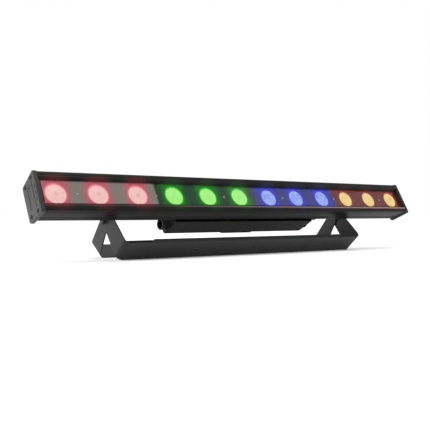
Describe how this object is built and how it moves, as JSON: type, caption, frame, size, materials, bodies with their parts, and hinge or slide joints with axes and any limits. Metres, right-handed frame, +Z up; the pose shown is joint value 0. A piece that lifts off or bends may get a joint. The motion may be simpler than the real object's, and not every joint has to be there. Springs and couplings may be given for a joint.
{
  "type": "led strip batten",
  "caption": "Long LED stage light bar with round lenses behind a window, a rear power box and two scissor yokes that stand it on the floor or hang it.",
  "frame": {"origin": "on the floor, under the middle of the bar's footprint", "axes": "+X along the bar, +Y to the rear (away from the lit face), +Z up"},
  "size_m": [0.9932, 0.1622, 0.1635],
  "materials": {
    "black_body": "satin black anodised extrusion",
    "end_cap": "fine textured dark grey paint on a die casting",
    "window": "clear flat window with a soft gloss",
    "mask": "dark satin mask round the lenses",
    "led_board": "white solder mask on a metal-core board",
    "lens_red": "moulded lens lit red",
    "lens_green": "moulded lens lit green",
    "lens_blue": "moulded lens lit blue",
    "lens_amber": "moulded lens lit amber",
    "black_box": "satin black powder coat on sheet steel",
    "yoke": "satin black powder coat on folded steel",
    "hinge": "satin black powder coat on steel",
    "panel": "fine matt black plastic",
    "display": "dark gloss display window",
    "button": "matt black rubbery keys",
    "circuit": "green circuit board with parts",
    "power_socket": "matt dark plastic",
    "data_socket": "satin plated zinc shell",
    "screw": "black oxide steel",
    "bolt": "zinc plated steel",
    "washer": "black nylon",
    "knob": "matt black moulded plastic"
  },
  "bodies": {
    "head": {"housing_extrusion": "black_body", "end_cap_left": "end_cap", "end_cap_right": "end_cap", "front_window": "window", "lens_mask": "mask", "led_board": "led_board", "power_box_cover": "black_box", "control_panel": "panel", "display_window": "display", "control_board": "circuit", "power_supply_board": "circuit", "led_driver_board": "circuit", "power_inlet": "power_socket", "power_outlet": "power_socket", "data_inlet": "data_socket", "data_outlet": "data_socket", "lens_01": "lens_red", "lens_02": "lens_red", "lens_03": "lens_red", "lens_04": "lens_green", "lens_05": "lens_green", "lens_06": "lens_green", "lens_07": "lens_blue", "lens_08": "lens_blue", "lens_09": "lens_blue", "lens_10": "lens_amber", "lens_11": "lens_amber", "lens_12": "lens_amber", "cap_screw_left_upper_front": "screw", "cap_screw_left_upper_rear": "screw", "cap_screw_left_lower_front": "screw", "cap_screw_left_lower_rear": "screw", "box_end_plate_left": "black_box", "box_screw_left": "screw", "hinge_plate_left": "hinge", "hinge_screw_left_upper": "screw", "hinge_screw_left_lower": "screw", "pivot_bolt_left": "bolt", "friction_washer_left": "washer", "cap_screw_right_upper_front": "screw", "cap_screw_right_upper_rear": "screw", "cap_screw_right_lower_front": "screw", "cap_screw_right_lower_rear": "screw", "box_end_plate_right": "black_box", "box_screw_right": "screw", "hinge_plate_right": "hinge", "hinge_screw_right_upper": "screw", "hinge_screw_right_lower": "screw", "pivot_bolt_right": "bolt", "friction_washer_right": "washer"},
    "clamp_knob_left": {"clamp_knob_left": "knob"},
    "clamp_knob_right": {"clamp_knob_right": "knob"},
    "front_yoke": {"front_yoke": "yoke"},
    "menu_button_1": {"menu_button_1": "button"},
    "menu_button_2": {"menu_button_2": "button"},
    "menu_button_3": {"menu_button_3": "button"},
    "menu_button_4": {"menu_button_4": "button"},
    "rear_yoke": {"rear_yoke": "yoke"}
  },
  "joints": [
    {"name": "front_yoke_pivot", "type": "hinge", "parent": "head", "child": "front_yoke", "pos_m": [0, 0.0153, 0.086], "axis": [1, 0, 0], "range_deg": [-9, 37]},
    {"name": "rear_yoke_pivot", "type": "hinge", "parent": "head", "child": "rear_yoke", "pos_m": [0, 0.0153, 0.086], "axis": [1, 0, 0], "range_deg": [-37, 120]},
    {"name": "clamp_knob_left_turn", "type": "hinge", "parent": "head", "child": "clamp_knob_left", "pos_m": [-0.333, 0.0153, 0.086], "axis": [1, 0, 0], "range_deg": [0, 360]},
    {"name": "clamp_knob_right_turn", "type": "hinge", "parent": "head", "child": "clamp_knob_right", "pos_m": [0.333, 0.0153, 0.086], "axis": [1, 0, 0], "range_deg": [0, 360]},
    {"name": "menu_button_1_press", "type": "slide", "parent": "head", "child": "menu_button_1", "axis": [0, -0.8721, 0.4894], "range_m": [0, 0.0008], "stiffness_N_per_m": 900},
    {"name": "menu_button_2_press", "type": "slide", "parent": "head", "child": "menu_button_2", "axis": [0, -0.8721, 0.4894], "range_m": [0, 0.0008], "stiffness_N_per_m": 900},
    {"name": "menu_button_3_press", "type": "slide", "parent": "head", "child": "menu_button_3", "axis": [0, -0.8721, 0.4894], "range_m": [0, 0.0008], "stiffness_N_per_m": 900},
    {"name": "menu_button_4_press", "type": "slide", "parent": "head", "child": "menu_button_4", "axis": [0, -0.8721, 0.4894], "range_m": [0, 0.0008], "stiffness_N_per_m": 900}
  ]
}
